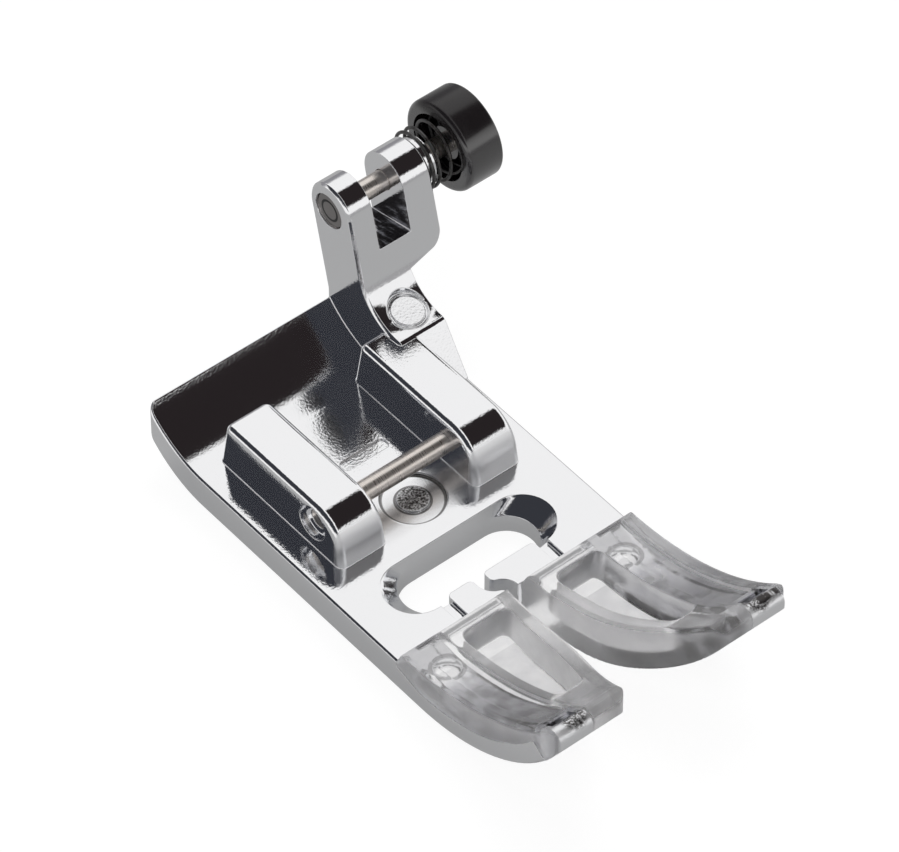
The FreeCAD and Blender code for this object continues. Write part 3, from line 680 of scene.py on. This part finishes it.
coil_tree = bpy.data.node_groups.new("closed_coil", "GeometryNodeTree")
coil_tree.interface.new_socket("Geometry", in_out="INPUT", socket_type="NodeSocketGeometry")
coil_sizes = {
    "Start": SPRING_START * MM,
    "Length": (SPRING_END - SPRING_START) * MM,
    "Coil Radius": SPRING_COIL * MM,
    "Wire Radius": SPRING_WIRE * MM,
    "Turns": SPRING_TURNS,
}
coil_ids = {}
for size_name in coil_sizes:
    made = coil_tree.interface.new_socket(
        size_name, in_out="INPUT", socket_type="NodeSocketFloat"
    )
    coil_ids[size_name] = made.identifier
coil_tree.interface.new_socket("Geometry", in_out="OUTPUT", socket_type="NodeSocketGeometry")
coil = Shade(coil_tree)
given = coil.node("NodeGroupInput").socket.node.outputs
sizes = {size_name: Shade(coil_tree, given[size_name]) for size_name in coil_sizes}
path = coil.node(
    "GeometryNodeCurveSpiral",
    None,
    {
        "Resolution": SPRING_STEPS,
        "Rotations": sizes["Turns"],
        "Start Radius": sizes["Coil Radius"],
        "End Radius": sizes["Coil Radius"],
        "Height": 1.0,
    },
)
where = coil.node("GeometryNodeInputPosition")
part_way = where.along(2)
climb = part_way.rising(*CLOSED_ENDS) * CLOSED_SHARE + part_way * (1.0 - CLOSED_SHARE)
end_room = sizes["Wire Radius"] * WIRE_ROOM
reach = sizes["Start"] + end_room + climb * (sizes["Length"] - end_room * 2.0)
line_y, line_z = PLUNGER_LINE.y, PLUNGER_LINE.z
placed = coil.node(
    "ShaderNodeCombineXYZ",
    None,
    {"X": reach, "Y": where.along(0) + line_y, "Z": where.along(1) + line_z},
)
path = coil.node("GeometryNodeSetPosition", None, {"Geometry": path, "Position": placed})
section = coil.node(
    "GeometryNodeCurvePrimitiveCircle", None, {"Resolution": WIRE_SIDES, "Radius": sizes["Wire Radius"]}
)
wire = coil.node(
    "GeometryNodeCurveToMesh", None, {"Curve": path, "Profile Curve": section, "Fill Caps": True}
)
wire = coil.node("GeometryNodeSetShadeSmooth", None, {"Geometry": wire})
wire = coil.node("GeometryNodeRealizeInstances", None, {"Geometry": wire})
wire = coil.node("GeometryNodeSetMaterial", None, {"Geometry": wire, "Material": spring_steel})
coil.end("NodeGroupOutput", "Geometry", wire)

spring = new_object("return_spring", bpy.data.meshes.new("return_spring"), [])
winder = spring.modifiers.new("winder", "NODES")
winder.node_group = coil_tree
for size_name, size in coil_sizes.items():
    winder[coil_ids[size_name]] = size
depsgraph = bpy.context.evaluated_depsgraph_get()
wound = bpy.data.meshes.new_from_object(spring.evaluated_get(depsgraph))
spring.modifiers.clear()
spring.data = wound
wound.name = "return_spring"
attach(spring, "foot")
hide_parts("plunger_spring")
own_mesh(spring)


# The button: a cap moulded in black plastic and pressed onto the end of the plunger by its hub.
# Its rim is rounded towards the fork and its face is nearly flat, with a satin moulded skin.
CAP_START = 20.3
CAP_END = 24.2
CAP_RADIUS = 4.6
CAP_RIM_ROUND = 0.55
CAP_FACE_ROUND = 0.25
CAP_SIDES = 128
CAVITY_RADIUS = 3.4
CAVITY_FLOOR = 23.4
HUB_RADIUS = 1.65
HUB_START = 21.3
CAP_COLOUR = (0.012, 0.01, 0.011, 1.0)
SCUFF_COLOUR = (0.024, 0.021, 0.022, 1.0)
CAP_SHOULDER = (20.4 * MM, 21.6 * MM)
GRAIN_DEPTH = 0.02 * MM

black, skin = new_material("black_plastic")
spot = skin.node("ShaderNodeTexCoord", None, None, 3)
grain = skin.node("ShaderNodeTexNoise", None, {"Vector": spot, "Scale": 2600.0, "Detail": 3.0})
scuff = skin.node("ShaderNodeTexNoise", None, {"Vector": spot, "Scale": 350.0, "Detail": 4.0})
bump = skin.node(
    "ShaderNodeBump", None, {"Height": grain, "Strength": 0.25, "Distance": GRAIN_DEPTH}
)
finish = skin.node(
    "ShaderNodeBsdfPrincipled",
    None,
    {
        "Base Color": scuff.rising(0.5, 0.8).blended(CAP_COLOUR, SCUFF_COLOUR),
        "Roughness": scuff.rising(0.3, 0.8) * 0.12 + 0.2,
        "Coat Weight": spot.along(2).falling(*CAP_SHOULDER),
        "Coat Roughness": 0.12,
        "Coat IOR": 1.85,
        "Normal": bump,
    },
)
skin.end("ShaderNodeOutputMaterial", "Surface", finish)

cap_profile = [(CAVITY_FLOOR, 0.0), (CAVITY_FLOOR, SHAFT_RADIUS), (HUB_START, SHAFT_RADIUS)]
cap_profile += [(HUB_START, HUB_RADIUS), (CAVITY_FLOOR, HUB_RADIUS), (CAVITY_FLOOR, CAVITY_RADIUS)]
cap_profile += [(CAP_START, CAVITY_RADIUS)]
cap_profile += arc((CAP_START + CAP_RIM_ROUND, CAP_RADIUS - CAP_RIM_ROUND), CAP_RIM_ROUND, 180, 90)
cap_profile += arc((CAP_END - CAP_FACE_ROUND, CAP_RADIUS - CAP_FACE_ROUND), CAP_FACE_ROUND, 90, 0)
cap_profile += [(CAP_END, 0.0)]
cap = turned("button", PLUNGER_LINE, cap_profile, CAP_SIDES, black)
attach(cap, "plunger")
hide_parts("button_cap")
